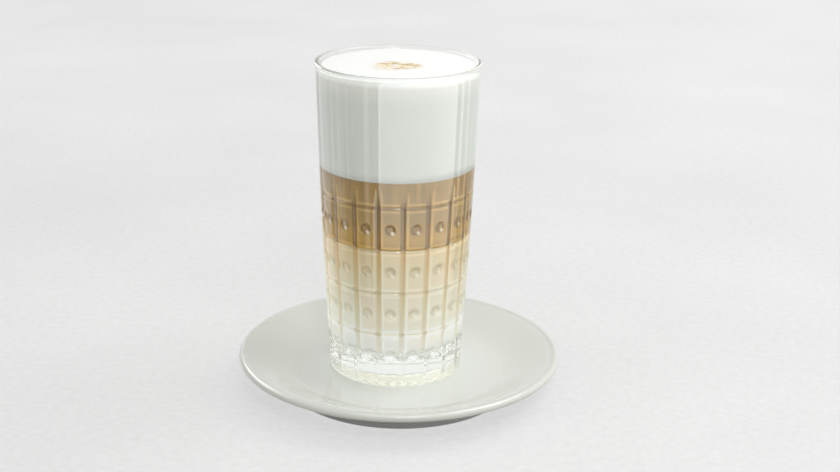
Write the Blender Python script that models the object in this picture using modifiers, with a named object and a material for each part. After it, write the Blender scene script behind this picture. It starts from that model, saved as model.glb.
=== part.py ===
"""A layered latte in a tall pressed glass, standing on its saucer.

Units are metres, +Z is up and the front faces -Y. The origin is on the table,
under the middle of the saucer. The glass, a solid of revolution, has a grid of
V grooves and round dimples cut into its wall. It holds three layers: milk,
coffee and milk foam.
"""

import math

import bmesh
import bpy
from mathutils import Matrix, Vector

# Driving dimensions of the glass. Heights are above the glass's own foot.
GLASS_HEIGHT = 0.150
WALL_RADIUS_TOP = 0.03805
WALL_RADIUS_FOOT = 0.0315
WALL_BOW = 0.00072
WALL_THICKNESS_TOP = 0.0022
WALL_THICKNESS_FOOT = 0.0030
LIP_RADIUS = 0.0387
LIP_BEAD = 0.0013
LIP_NECK = 0.0040
BASE_THICKNESS = 0.0150
BASE_DISH = 0.0008
INNER_CORNER = 0.0060
FOOT_RADIUS = 0.0320
FOOT_FILLET = 0.0016
PUNT_RADIUS = 0.0270
PUNT_DEPTH = 0.0020

# The pressed grid: columns of V grooves, rows of finer lines, and a dimple in
# each cell.
COLUMNS = 18
ROWS = 4
ROW_PITCH = 0.0209
BOTTOM_LINE = 0.0063
COLUMN_WIDTH = 0.0026
COLUMN_DEPTH = 0.0007
COLUMN_POINT = 0.0076
COLUMN_START = 0.0032
COLUMN_RUN_OUT = 0.0012
CLEAR_OF_WALL = -0.4
LINE_WIDTH = 0.0016
LINE_DEPTH = 0.0005
DIMPLE_DIAMETER = 0.0056
DIMPLE_DEPTH = 0.0008
GRID_TURN = math.radians(-4.6)

# The drink, also above the glass's foot.
MILK_TOP = 0.0690
COFFEE_TOP = 0.1012
FOAM_EDGE = 0.1480
FOAM_DOME = 0.0008
GAP = 0.0003

# The saucer, above the table.
SAUCER_RADIUS = 0.0776
SAUCER_RIM_HEIGHT = 0.0158
SAUCER_RIM_BEAD = 0.0019
SAUCER_WELL_TOP = 0.0085
SAUCER_WELL_RADIUS = 0.0500
SAUCER_UNDERSIDE = 0.0036
SAUCER_BELLY = 0.1
SAUCER_DISH_CURVE = 0.45
FOOT_RING_TOP = 0.0040
FOOT_RING_OUTER = 0.0548
FOOT_RING_INNER = 0.0500
FOOT_RING_FILLET = 0.0008

# The glass stands a little off the middle of the saucer.
GLASS_X = -0.0020
GLASS_Y = 0.0032
GLASS_FOOT = SAUCER_WELL_TOP + GAP

GLASS_STEPS = 72
SAUCER_STEPS = 48
DRINK_STEPS = 48
CUTTER_CLEARANCE = 0.0008
MERGE = 0.000001


def clear_scene():
    for scene_object in list(bpy.data.objects):
        bpy.data.objects.remove(scene_object, do_unlink=True)


def new_collection(name):
    collection = bpy.data.collections.new(name)
    bpy.context.scene.collection.children.link(collection)
    return collection


def new_material(name, color, roughness, transmission=0.0):
    material = bpy.data.materials.new(name)
    material.use_nodes = True
    shader = material.node_tree.nodes["Principled BSDF"]
    shader.inputs["Base Color"].default_value = (*color, 1.0)
    shader.inputs["Roughness"].default_value = roughness
    shader.inputs["Metallic"].default_value = 0.0
    shader.inputs["Transmission Weight"].default_value = transmission
    return material


def arc(center_x, center_z, radius, start, end, count):
    """Points on an arc in the profile plane, angles in degrees from +X."""
    points = []
    for index in range(count + 1):
        angle = math.radians(start + (end - start) * index / count)
        points.append((center_x + radius * math.cos(angle), center_z + radius * math.sin(angle)))
    return points


def turned(name, profile, steps, collection):
    """A solid of revolution about Z. The profile runs down its outer side."""
    vertices = [(x, 0.0, z) for x, z in profile]
    edges = [(index, index + 1) for index in range(len(profile) - 1)]
    mesh = bpy.data.meshes.new(name)
    mesh.from_pydata(vertices, edges, [])
    turned_object = bpy.data.objects.new(name, mesh)
    collection.objects.link(turned_object)
    screw = turned_object.modifiers.new("turn", "SCREW")
    screw.axis = "Z"
    screw.steps = steps
    screw.render_steps = steps
    screw.use_merge_vertices = True
    screw.merge_threshold = MERGE
    screw.use_smooth_shade = True
    return turned_object


def outer_radius(height):
    """The glass's smooth outside, a taper with a slight bow."""
    share = height / GLASS_HEIGHT
    taper = WALL_RADIUS_FOOT + (WALL_RADIUS_TOP - WALL_RADIUS_FOOT) * share
    return taper + WALL_BOW * 4.0 * share * (1.0 - share)


def inner_radius(height):
    """The inside of the wall, which is thinner towards the lip."""
    share = height / GLASS_HEIGHT
    thickness = WALL_THICKNESS_FOOT + (WALL_THICKNESS_TOP - WALL_THICKNESS_FOOT) * share
    return outer_radius(height) - thickness


def line_height(row):
    """Height of a horizontal line, counted up from the lowest."""
    return BOTTOM_LINE + row * ROW_PITCH


def hollow_floor(lift=0.0):
    """The inside of the base from the axis out to the wall, lifted by a gap."""
    corner = INNER_CORNER - lift
    corner_height = BASE_THICKNESS + BASE_DISH + INNER_CORNER
    corner_x = inner_radius(corner_height) - INNER_CORNER
    points = [(0.0, BASE_THICKNESS + lift)]
    points.extend(arc(corner_x, corner_height, corner, -85.0, 0.0, 4))
    return points


def line_notch(row):
    """Three points, going down, that press one horizontal line into the wall."""
    height = line_height(row)
    top = height + LINE_WIDTH * 0.5
    bottom = height - LINE_WIDTH * 0.5
    return [
        (outer_radius(top), top),
        (outer_radius(height) - LINE_DEPTH, height),
        (outer_radius(bottom), bottom),
    ]


def glass_profile():
    """From the floor inside, up the inner wall, over the lip and down outside."""
    lip_center_x = LIP_RADIUS - LIP_BEAD
    lip_center_z = GLASS_HEIGHT - LIP_BEAD
    neck = GLASS_HEIGHT - LIP_BEAD - LIP_NECK
    profile = hollow_floor()
    for height in (0.075, neck):
        profile.append((inner_radius(height), height))
    profile.extend(arc(lip_center_x, lip_center_z, LIP_BEAD, 180.0, -30.0, 6))
    profile.append((outer_radius(neck), neck))
    for height in (0.120, line_height(ROWS) + COLUMN_POINT + 0.002):
        profile.append((outer_radius(height), height))
    for row in range(ROWS, -1, -1):
        profile.extend(line_notch(row))
    fillet_x = FOOT_RADIUS - FOOT_FILLET
    profile.extend(arc(fillet_x, FOOT_FILLET, FOOT_FILLET, 0.0, -90.0, 3))
    profile.append((PUNT_RADIUS, 0.0))
    profile.append((PUNT_RADIUS * 0.6, PUNT_DEPTH * 0.8))
    profile.append((0.0, PUNT_DEPTH))
    return profile


def column_sections():
    """Height and share of full depth along one V groove, from foot to point."""
    top_line = line_height(ROWS)
    sections = [(COLUMN_START - COLUMN_RUN_OUT, CLEAR_OF_WALL), (COLUMN_START + COLUMN_RUN_OUT, 1.0)]
    for row in range(ROWS + 1):
        sections.append((line_height(row), 1.0))
    sections.append((top_line + COLUMN_POINT * 0.5, 0.8))
    sections.append((top_line + COLUMN_POINT + COLUMN_RUN_OUT, CLEAR_OF_WALL))
    return sections


def column_cutter(collection):
    """A V-shaped bar for each column, lofted up the bowed wall to a point."""
    cutter_mesh = bmesh.new()
    slope = COLUMN_WIDTH * 0.5 / COLUMN_DEPTH
    for column in range(COLUMNS):
        turn = Matrix.Rotation(math.tau * column / COLUMNS, 4, "Z")
        rings = []
        for height, share in column_sections():
            tip = outer_radius(height) - COLUMN_DEPTH * share
            outside = outer_radius(height) + CUTTER_CLEARANCE
            half_width = (outside - tip) * slope
            corners = ((tip, 0.0), (outside, -half_width), (outside, half_width))
            ring = [cutter_mesh.verts.new(turn @ Vector((x, y, height))) for x, y in corners]
            rings.append(ring)
        for lower, upper in zip(rings, rings[1:]):
            for side in range(3):
                following = (side + 1) % 3
                cutter_mesh.faces.new((lower[side], lower[following], upper[following], upper[side]))
        cutter_mesh.faces.new(reversed(rings[0]))
        cutter_mesh.faces.new(rings[-1])
    return cutter_from_bmesh("column_cutter", cutter_mesh, collection)


def dimple_cutter(collection):
    """A ball outside the wall at the middle of each cell cuts a shallow dish."""
    ball_radius = ((DIMPLE_DIAMETER * 0.5) ** 2 + DIMPLE_DEPTH ** 2) / (2.0 * DIMPLE_DEPTH)
    cutter_mesh = bmesh.new()
    for row in range(ROWS):
        height = line_height(row) + ROW_PITCH * 0.5
        distance = outer_radius(height) - DIMPLE_DEPTH + ball_radius
        for column in range(COLUMNS):
            turn = Matrix.Rotation(math.tau * (column + 0.5) / COLUMNS, 4, "Z")
            place = Matrix.Translation((distance, 0.0, height))
            lie_down = Matrix.Rotation(math.pi * 0.5, 4, "Y")
            bmesh.ops.create_uvsphere(
                cutter_mesh, u_segments=8, v_segments=10, radius=ball_radius,
                matrix=turn @ place @ lie_down)
    return cutter_from_bmesh("dimple_cutter", cutter_mesh, collection)


def cutter_from_bmesh(name, cutter_mesh, collection):
    bmesh.ops.recalc_face_normals(cutter_mesh, faces=cutter_mesh.faces)
    mesh = bpy.data.meshes.new(name)
    cutter_mesh.to_mesh(mesh)
    cutter_mesh.free()
    cutter = bpy.data.objects.new(name, mesh)
    collection.objects.link(cutter)
    cutter.hide_render = True
    cutter.display_type = "WIRE"
    return cutter


def cut(target, cutter):
    """Cut the target with a cutter that lies in the target's own frame."""
    boolean = target.modifiers.new("cut_" + cutter.name, "BOOLEAN")
    boolean.operation = "DIFFERENCE"
    boolean.solver = "EXACT"
    boolean.object = cutter
    cutter.parent = target


def build_glass(parts, cutters):
    """The tall tumbler, with its grid cut into the lower two thirds."""
    glass = turned("glass", glass_profile(), GLASS_STEPS, parts)
    glass.location = (GLASS_X, GLASS_Y, GLASS_FOOT)
    glass.rotation_euler.z = GRID_TURN
    glass.data.materials.append(new_material("clear_glass", (0.93, 0.96, 0.94), 0.02, 1.0))
    cut(glass, column_cutter(cutters))
    cut(glass, dimple_cutter(cutters))
    return glass


def wall_points(top, bottom, count):
    """Down the drink's side, a gap inside the glass."""
    points = []
    for index in range(count + 1):
        height = top + (bottom - top) * index / count
        points.append((inner_radius(height) - GAP, height))
    return points


def build_foam(parts, glass):
    """A thick layer with a slightly domed top, just under the lip."""
    edge = inner_radius(FOAM_EDGE) - GAP
    dome_radius = (edge ** 2 + FOAM_DOME ** 2) / (2.0 * FOAM_DOME)
    dome_center = FOAM_EDGE + FOAM_DOME - dome_radius
    rim_angle = math.degrees(math.acos(edge / dome_radius))
    profile = arc(0.0, dome_center, dome_radius, 90.0, rim_angle, 4)
    profile.extend(wall_points(FOAM_EDGE, COFFEE_TOP + GAP, 3)[1:])
    profile.append((0.0, COFFEE_TOP + GAP))
    foam = turned("milk_foam", profile, DRINK_STEPS, parts)
    foam.parent = glass
    foam.data.materials.append(new_material("foam", (0.97, 0.97, 0.95), 0.6))


def build_coffee(parts, glass):
    """The brown layer between the foam and the milk."""
    profile = [(0.0, COFFEE_TOP)]
    profile.extend(wall_points(COFFEE_TOP, MILK_TOP + GAP, 2))
    profile.append((0.0, MILK_TOP + GAP))
    coffee = turned("coffee_layer", profile, DRINK_STEPS, parts)
    coffee.parent = glass
    coffee.data.materials.append(new_material("coffee", (0.45, 0.32, 0.18), 0.3))


def build_milk(parts, glass):
    """The pale layer that fills the rounded bottom of the glass."""
    floor = hollow_floor(GAP)
    profile = [(0.0, MILK_TOP)]
    profile.extend(wall_points(MILK_TOP, floor[-1][1], 3)[:-1])
    profile.extend(reversed(floor))
    milk = turned("milk_layer", profile, DRINK_STEPS, parts)
    milk.parent = glass
    milk.data.materials.append(new_material("milk", (0.80, 0.74, 0.60), 0.3))


def smooth_step(share):
    return share * share * (3.0 - 2.0 * share)


def saucer_top(inner_edge):
    """The dish inside the rim, from the well outwards."""
    rim_top = SAUCER_RIM_HEIGHT + SAUCER_RIM_BEAD * 0.7
    points = []
    for index in range(7):
        share = index / 7.0
        lift = (1.0 - SAUCER_DISH_CURVE) * share + SAUCER_DISH_CURVE * smooth_step(share)
        radius = SAUCER_WELL_RADIUS + (inner_edge - SAUCER_WELL_RADIUS) * share
        points.append((radius, SAUCER_WELL_TOP + (rim_top - SAUCER_WELL_TOP) * lift))
    return points


def saucer_underside(outer_edge, rim_bottom):
    """From under the rim in to the foot ring: part straight, part round belly."""
    points = []
    for index in range(1, 7):
        share = index / 6.0
        belly = math.sqrt(1.0 - (1.0 - share) ** 2)
        drop = (1.0 - SAUCER_BELLY) * share + SAUCER_BELLY * belly
        radius = outer_edge + (FOOT_RING_OUTER - outer_edge) * share
        points.append((radius, rim_bottom + (FOOT_RING_TOP - rim_bottom) * drop))
    return points


def saucer_profile():
    """From the middle of the well out to the rim, then back under to the axis."""
    bead_x = SAUCER_RADIUS - SAUCER_RIM_BEAD
    fillet = FOOT_RING_FILLET
    profile = [(0.0, SAUCER_WELL_TOP)]
    profile.extend(saucer_top(bead_x - SAUCER_RIM_BEAD))
    profile.extend(arc(bead_x, SAUCER_RIM_HEIGHT, SAUCER_RIM_BEAD, 135.0, -75.0, 7))
    profile.extend(saucer_underside(bead_x, SAUCER_RIM_HEIGHT - SAUCER_RIM_BEAD))
    profile.extend(arc(FOOT_RING_OUTER - fillet, fillet, fillet, 0.0, -90.0, 2))
    profile.extend(arc(FOOT_RING_INNER + fillet, fillet, fillet, -90.0, -180.0, 2))
    profile.append((FOOT_RING_INNER, SAUCER_UNDERSIDE))
    profile.append((0.0, SAUCER_UNDERSIDE))
    return profile


def build_saucer(parts):
    saucer = turned("saucer", saucer_profile(), SAUCER_STEPS, parts)
    saucer.data.materials.append(new_material("glazed_porcelain", (0.88, 0.89, 0.86), 0.12))


def main():
    clear_scene()
    parts = new_collection("latte")
    cutters = new_collection("cutters")
    glass = build_glass(parts, cutters)
    build_milk(parts, glass)
    build_coffee(parts, glass)
    build_foam(parts, glass)
    build_saucer(parts)


main()
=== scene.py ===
"""Looks for a layered latte in a tall pressed glass on a white saucer.

Metres, +Z up, front at -Y. Laid out as a Blender add-on and run as a script.
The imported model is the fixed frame. Every piece here replaces one of its
nodes with a finer surface of the same size, and rides on the same body.
"""

import math

import bpy
from bpy.props import FloatProperty, FloatVectorProperty, IntProperty, PointerProperty
from mathutils import Matrix, Vector


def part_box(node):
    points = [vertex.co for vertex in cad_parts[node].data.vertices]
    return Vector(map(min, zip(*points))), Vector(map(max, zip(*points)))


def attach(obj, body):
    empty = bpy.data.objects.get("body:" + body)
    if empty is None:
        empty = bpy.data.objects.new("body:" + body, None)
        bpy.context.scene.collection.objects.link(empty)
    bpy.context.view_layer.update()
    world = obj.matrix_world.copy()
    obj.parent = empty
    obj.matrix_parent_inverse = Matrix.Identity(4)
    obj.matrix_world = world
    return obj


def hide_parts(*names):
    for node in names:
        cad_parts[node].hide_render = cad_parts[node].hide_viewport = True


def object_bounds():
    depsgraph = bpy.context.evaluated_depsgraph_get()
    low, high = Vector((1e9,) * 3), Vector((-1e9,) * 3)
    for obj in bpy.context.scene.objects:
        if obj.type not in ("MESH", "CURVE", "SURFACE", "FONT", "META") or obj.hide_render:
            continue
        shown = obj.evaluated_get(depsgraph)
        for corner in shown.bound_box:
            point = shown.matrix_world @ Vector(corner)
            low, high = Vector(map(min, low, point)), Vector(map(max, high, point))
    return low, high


bl_info = {
    "name": "Layered Latte",
    "version": (1, 0, 0),
    "blender": (4, 5, 0),
    "location": "View3D > Sidebar > Latte",
    "description": "A latte in a pressed glass on its saucer, with a small studio",
    "category": "Object",
}

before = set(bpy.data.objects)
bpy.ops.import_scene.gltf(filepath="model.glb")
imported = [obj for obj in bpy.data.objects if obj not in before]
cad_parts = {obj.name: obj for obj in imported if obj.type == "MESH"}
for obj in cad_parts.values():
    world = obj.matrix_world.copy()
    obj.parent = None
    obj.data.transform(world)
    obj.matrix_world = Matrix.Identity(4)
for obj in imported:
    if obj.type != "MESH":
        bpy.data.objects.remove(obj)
CAD_LOW, CAD_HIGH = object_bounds()
GLASS_LOW, GLASS_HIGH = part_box("glass")
SAUCER_LOW, SAUCER_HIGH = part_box("saucer")
FOAM_LOW, FOAM_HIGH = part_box("milk_foam")
COFFEE_LOW, COFFEE_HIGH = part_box("coffee_layer")
MILK_LOW, MILK_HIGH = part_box("milk_layer")

BODY = "root"
GLASS_FOOT = GLASS_LOW.z
GLASS_HEIGHT = GLASS_HIGH.z - GLASS_LOW.z
GLASS_AXIS = Vector((
    (GLASS_LOW.x + GLASS_HIGH.x) * 0.5, (GLASS_LOW.y + GLASS_HIGH.y) * 0.5, GLASS_FOOT))
LIP_RADIUS = (GLASS_HIGH.x - GLASS_LOW.x) * 0.5
SAUCER_RADIUS = (SAUCER_HIGH.x - SAUCER_LOW.x) * 0.5


class GlassSettings(bpy.types.PropertyGroup):
    """Sizes and finish of the pressed glass."""

    wall_radius_top: FloatProperty(
        name="Wall Radius Top", description="Outer radius of the wall at the lip",
        default=0.03805, unit="LENGTH")
    wall_radius_foot: FloatProperty(
        name="Wall Radius Foot", description="Outer radius of the wall at the foot",
        default=0.0315, unit="LENGTH")
    wall_bow: FloatProperty(
        name="Wall Bow", description="How far the wall bows out halfway up",
        default=0.00072, unit="LENGTH")
    thickness_top: FloatProperty(
        name="Thickness Top", description="Wall thickness at the lip",
        default=0.0022, unit="LENGTH")
    thickness_foot: FloatProperty(
        name="Thickness Foot", description="Wall thickness at the foot",
        default=0.0030, unit="LENGTH")
    columns: IntProperty(
        name="Columns", description="Upright grooves round the glass", default=18)
    rows: IntProperty(
        name="Rows", description="Rows of pressed cells", default=4)
    row_pitch: FloatProperty(
        name="Row Pitch", description="Height of one row of cells",
        default=0.0209, unit="LENGTH")
    bottom_line: FloatProperty(
        name="Bottom Line", description="Height of the lowest line above the foot",
        default=0.0063, unit="LENGTH")
    column_width: FloatProperty(
        name="Groove Width", description="Width of an upright groove",
        default=0.0026, unit="LENGTH")
    column_depth: FloatProperty(
        name="Groove Depth", description="Depth of an upright groove",
        default=0.0007, unit="LENGTH")
    line_width: FloatProperty(
        name="Line Width", description="Width of a level line",
        default=0.0016, unit="LENGTH")
    line_depth: FloatProperty(
        name="Line Depth", description="Depth of a level line",
        default=0.0005, unit="LENGTH")
    dimple_diameter: FloatProperty(
        name="Dimple Diameter", description="Width of the dish in each cell",
        default=0.0056, unit="LENGTH")
    dimple_depth: FloatProperty(
        name="Dimple Depth", description="Depth of the dish in each cell",
        default=0.0008, unit="LENGTH")
    grid_turn: FloatProperty(
        name="Grid Turn", description="Turn of the pressed grid about the glass",
        default=math.radians(-4.6), subtype="ANGLE")
    tint: FloatVectorProperty(
        name="Tint", description="Colour of the clear glass",
        default=(0.97, 0.99, 0.975), subtype="COLOR", size=3)


class DrinkSettings(bpy.types.PropertyGroup):
    """Colours of the layers, and the mark on the foam."""

    wall_reach: FloatProperty(
        name="Wall Reach", description="How far the drink reaches into the wall",
        default=0.00015, unit="LENGTH")
    foam: FloatVectorProperty(
        name="Foam", description="Colour of the milk foam from above",
        default=(0.98, 0.98, 0.97), subtype="COLOR", size=3)
    # Painted shade: the foam's side is a darker, greyer copy of the foam's colour, for the side that
    # gets less light than the top.
    shaded_foam_side: FloatVectorProperty(
        name="Foam Side", description="Colour of the milk foam against the glass",
        default=(0.795, 0.83, 0.825), subtype="COLOR", size=3)
    coffee: FloatVectorProperty(
        name="Coffee", description="Colour of the coffee under the foam",
        default=(0.44, 0.277, 0.090), subtype="COLOR", size=3)
    coffee_low: FloatVectorProperty(
        name="Coffee Low", description="Colour of the coffee where it meets the milk",
        default=(0.56, 0.335, 0.070), subtype="COLOR", size=3)
    blend: FloatVectorProperty(
        name="Blend", description="Colour of the top of the milk",
        default=(0.80, 0.64, 0.38), subtype="COLOR", size=3)
    milk: FloatVectorProperty(
        name="Milk", description="Colour of the milk lower down",
        default=(0.93, 0.89, 0.78), subtype="COLOR", size=3)
    mark: FloatVectorProperty(
        name="Mark", description="Colour of the espresso mark on the foam",
        default=(0.74, 0.47, 0.24), subtype="COLOR", size=3)
    mark_place: FloatVectorProperty(
        name="Mark Place", description="Middle of the mark from the glass's axis",
        default=(-0.0014, -0.0060), unit="LENGTH", size=2)
    mark_radius: FloatProperty(
        name="Mark Radius", description="Radius of the mark",
        default=0.0120, unit="LENGTH")


class SaucerSettings(bpy.types.PropertyGroup):
    """Sizes and glaze of the saucer."""

    rim_bead: FloatProperty(
        name="Rim Bead", description="Radius of the rolled rim",
        default=0.0019, unit="LENGTH")
    well_top: FloatProperty(
        name="Well Top", description="Height of the well above the table",
        default=0.0085, unit="LENGTH")
    well_radius: FloatProperty(
        name="Well Radius", description="Radius of the flat well",
        default=0.0500, unit="LENGTH")
    underside: FloatProperty(
        name="Underside", description="Height of the underside within the foot ring",
        default=0.0036, unit="LENGTH")
    foot_top: FloatProperty(
        name="Foot Top", description="Height at which the underside meets the foot ring",
        default=0.0040, unit="LENGTH")
    foot_outer: FloatProperty(
        name="Foot Outer", description="Outer radius of the foot ring",
        default=0.0548, unit="LENGTH")
    foot_inner: FloatProperty(
        name="Foot Inner", description="Inner radius of the foot ring",
        default=0.0500, unit="LENGTH")
    glaze: FloatVectorProperty(
        name="Glaze", description="Colour of the glazed porcelain",
        default=(0.82, 0.84, 0.81), subtype="COLOR", size=3)


class StudioSettings(bpy.types.PropertyGroup):
    """Camera, floor and lights."""

    camera_distance: FloatProperty(
        name="Camera Distance", description="Level distance from the glass's axis",
        default=0.6823, unit="LENGTH")
    camera_height: FloatProperty(
        name="Camera Height", description="Height above the glass's foot",
        default=0.2964, unit="LENGTH")
    camera_pan: FloatProperty(
        name="Camera Pan", description="Turn to the right", default=0.0165, subtype="ANGLE")
    camera_tilt: FloatProperty(
        name="Camera Tilt", description="Tilt below level", default=0.3271, subtype="ANGLE")
    camera_roll: FloatProperty(
        name="Camera Roll", description="Roll about the view", default=0.0154, subtype="ANGLE")
    lens: FloatProperty(
        name="Lens", description="Focal length on a 36 mm sensor", default=64.69)
    floor: FloatVectorProperty(
        name="Floor", description="Colour of the floor",
        default=(0.25, 0.25, 0.25), subtype="COLOR", size=3)
    floor_bounce: FloatVectorProperty(
        name="Floor Bounce", description="Colour that the floor throws back on the saucer",
        default=(0.84, 0.81, 0.73), subtype="COLOR", size=3)
    floor_glow: FloatProperty(
        name="Floor Glow", description="Glow that keeps the floor's shadows faint", default=2.48)
    sky_left: FloatProperty(
        name="Sky Left", description="Strength of the light from the left", default=0.32)
    sky_right: FloatProperty(
        name="Sky Right", description="Strength of the light from the right", default=0.72)
    sky_in_glass: FloatProperty(
        name="Sky in Glass", description="Strength of the sky seen through glass or mirrored",
        default=0.90)
    top_power: FloatProperty(
        name="Top Power", description="Power of the large light above", default=1.7, unit="POWER")
    front_power: FloatProperty(
        name="Front Power", description="Power of the softbox above the camera",
        default=1.5, unit="POWER")
    left_power: FloatProperty(
        name="Left Power", description="Power of the small fill low on the left",
        default=0.009, unit="POWER")
    card_glow: FloatProperty(
        name="Card Glow", description="Brightness of the cards that the glass mirrors", default=3.1)


def smooth_step(share):
    """An S-shaped rise from 0 to 1."""
    share = min(max(share, 0.0), 1.0)
    return share * share * (3.0 - 2.0 * share)


def arc(center_x, center_z, radius, start, end, count):
    """Points on an arc in the profile plane, angles in degrees from +X."""
    points = []
    for index in range(count + 1):
        angle = math.radians(start + (end - start) * index / count)
        points.append((center_x + radius * math.cos(angle), center_z + radius * math.sin(angle)))
    return points


def outer_radius(glass, height):
    """Radius of the wall outside, without its relief."""
    share = height / GLASS_HEIGHT
    taper = glass.wall_radius_foot + (glass.wall_radius_top - glass.wall_radius_foot) * share
    return taper + glass.wall_bow * 4.0 * share * (1.0 - share)


def inner_radius(glass, height):
    """Radius of the hollow."""
    share = height / GLASS_HEIGHT
    thickness = glass.thickness_foot + (glass.thickness_top - glass.thickness_foot) * share
    return outer_radius(glass, height) - thickness


def ring_mesh(name, rings, angles):
    """A closed skin through rings of points, with a point on the axis at each end.

    rings holds (radius, height) pairs or functions of the angle. The first and
    the last ring are single heights on the axis.
    """
    vertices = [(0.0, 0.0, rings[0])]
    for radius_at, height in rings[1:-1]:
        for angle in angles:
            radius = radius_at(angle) if callable(radius_at) else radius_at
            vertices.append((radius * math.cos(angle), radius * math.sin(angle), height))
    vertices.append((0.0, 0.0, rings[-1]))
    count = len(angles)
    last = len(vertices) - 1
    faces = []
    for index in range(count):
        following = (index + 1) % count
        faces.append((0, 1 + index, 1 + following))
        faces.append((last, last - count + following, last - count + index))
    for ring in range(len(rings) - 3):
        start = 1 + ring * count
        for index in range(count):
            following = (index + 1) % count
            faces.append((
                start + index, start + count + index,
                start + count + following, start + following))
    mesh = bpy.data.meshes.new(name)
    mesh.from_pydata(vertices, [], faces)
    mesh.validate()
    mesh.shade_smooth()
    return mesh


def new_piece(name, mesh, material, place, slot, *nodes):
    """Links a piece at its place, on its body and in the stead of its nodes."""
    piece = bpy.data.objects.new(name, mesh)
    bpy.context.scene.collection.objects.link(piece)
    piece.location = place
    mesh.materials.append(material)
    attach(piece, BODY)
    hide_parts(*nodes)
    return piece


def even_angles(count):
    return [math.tau * index / count for index in range(count)]


def spread(share, at_ends, at_middle):
    """Moves even shares of a cell closer to its ends and its middle."""
    ends = at_ends * math.sin(math.tau * share) / math.tau
    middle = at_middle * math.sin(2.0 * math.tau * share) / (2.0 * math.tau)
    return share - ends - middle


def softened(value, softness):
    """Cuts off below zero with a rounded edge, as fire polishing leaves it."""
    return 0.5 * (value + math.sqrt(value * value + softness * softness))


# The pressed relief: the rounding of its edges, how far a groove's point rises above
# the top line, where the grooves start above the foot, and how they run out there.
EDGE_SOFTNESS = 0.00005
GROOVE_POINT = 0.0076
GROOVE_START = 0.0032
GROOVE_RUN_OUT = 0.0012
# How many points go round each column and up each row, and how they crowd to the
# ends and to the middle of it.
ANGLES_PER_COLUMN = 22
HEIGHTS_PER_ROW = 40
COLUMN_CROWDING = (0.25, 0.35)
ROW_CROWDING = (0.55, 0.15)


def relief_depth(glass, angle, height):
    """How deep the pressed grid cuts into the wall at this place."""
    radius = outer_radius(glass, height)
    pitch = math.tau / glass.columns
    phase = (angle / pitch) % 1.0
    across = min(phase, 1.0 - phase) * pitch * radius
    from_middle = (0.5 - min(phase, 1.0 - phase)) * pitch * radius
    top_line = glass.bottom_line + glass.rows * glass.row_pitch
    point = 1.0 - (height - top_line) / (GROOVE_POINT + GROOVE_RUN_OUT)
    start = (height - GROOVE_START + GROOVE_RUN_OUT) / (2.0 * GROOVE_RUN_OUT)
    share = min(1.0, max(-0.5, point), max(-0.5, start))
    groove = glass.column_depth * (share - across / (glass.column_width * 0.5))
    row = min(max(round((height - glass.bottom_line) / glass.row_pitch), 0), glass.rows)
    from_line = abs(height - glass.bottom_line - row * glass.row_pitch)
    line = glass.line_depth * (1.0 - from_line / (glass.line_width * 0.5))
    cell = math.floor((height - glass.bottom_line) / glass.row_pitch)
    dimple = -glass.dimple_depth
    if 0 <= cell < glass.rows:
        middle = glass.bottom_line + (cell + 0.5) * glass.row_pitch
        distance = math.hypot(from_middle, height - middle)
        dimple = glass.dimple_depth * (1.0 - (distance / (glass.dimple_diameter * 0.5)) ** 2)
    return max(softened(cut, EDGE_SOFTNESS) for cut in (groove, line, dimple)) - EDGE_SOFTNESS * 0.5


# The rest of the glass: its lip, the floor inside, the foot and the hollow beneath it.
LIP_BEAD = 0.0013
LIP_NECK = 0.0040
FLOOR_THICKNESS = 0.0150
FLOOR_DISH = 0.0008
FLOOR_CORNER = 0.0060
FOOT_RADIUS = 0.0320
FOOT_FILLET = 0.0016
PUNT_RADIUS = 0.0270
PUNT_DEPTH = 0.0020
FOOT_FLARE_HEIGHT = 0.004
PLAIN_WALL_HEIGHTS_INSIDE = (0.035, 0.060, 0.085, 0.110, 0.130)
PLAIN_WALL_HEIGHTS_OUTSIDE = (0.130, 0.120, 0.110, 0.104)


def hollow_floor(glass, reach, count):
    """The inside of the base, from near the axis out to the wall."""
    corner_height = FLOOR_THICKNESS + FLOOR_DISH + FLOOR_CORNER
    corner_x = inner_radius(glass, corner_height) - FLOOR_CORNER
    points = [(corner_x * 0.5, FLOOR_THICKNESS + FLOOR_DISH * 0.3 - reach)]
    points.extend(arc(corner_x, corner_height, FLOOR_CORNER + reach, -85.0, 0.0, count))
    return points


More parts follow.
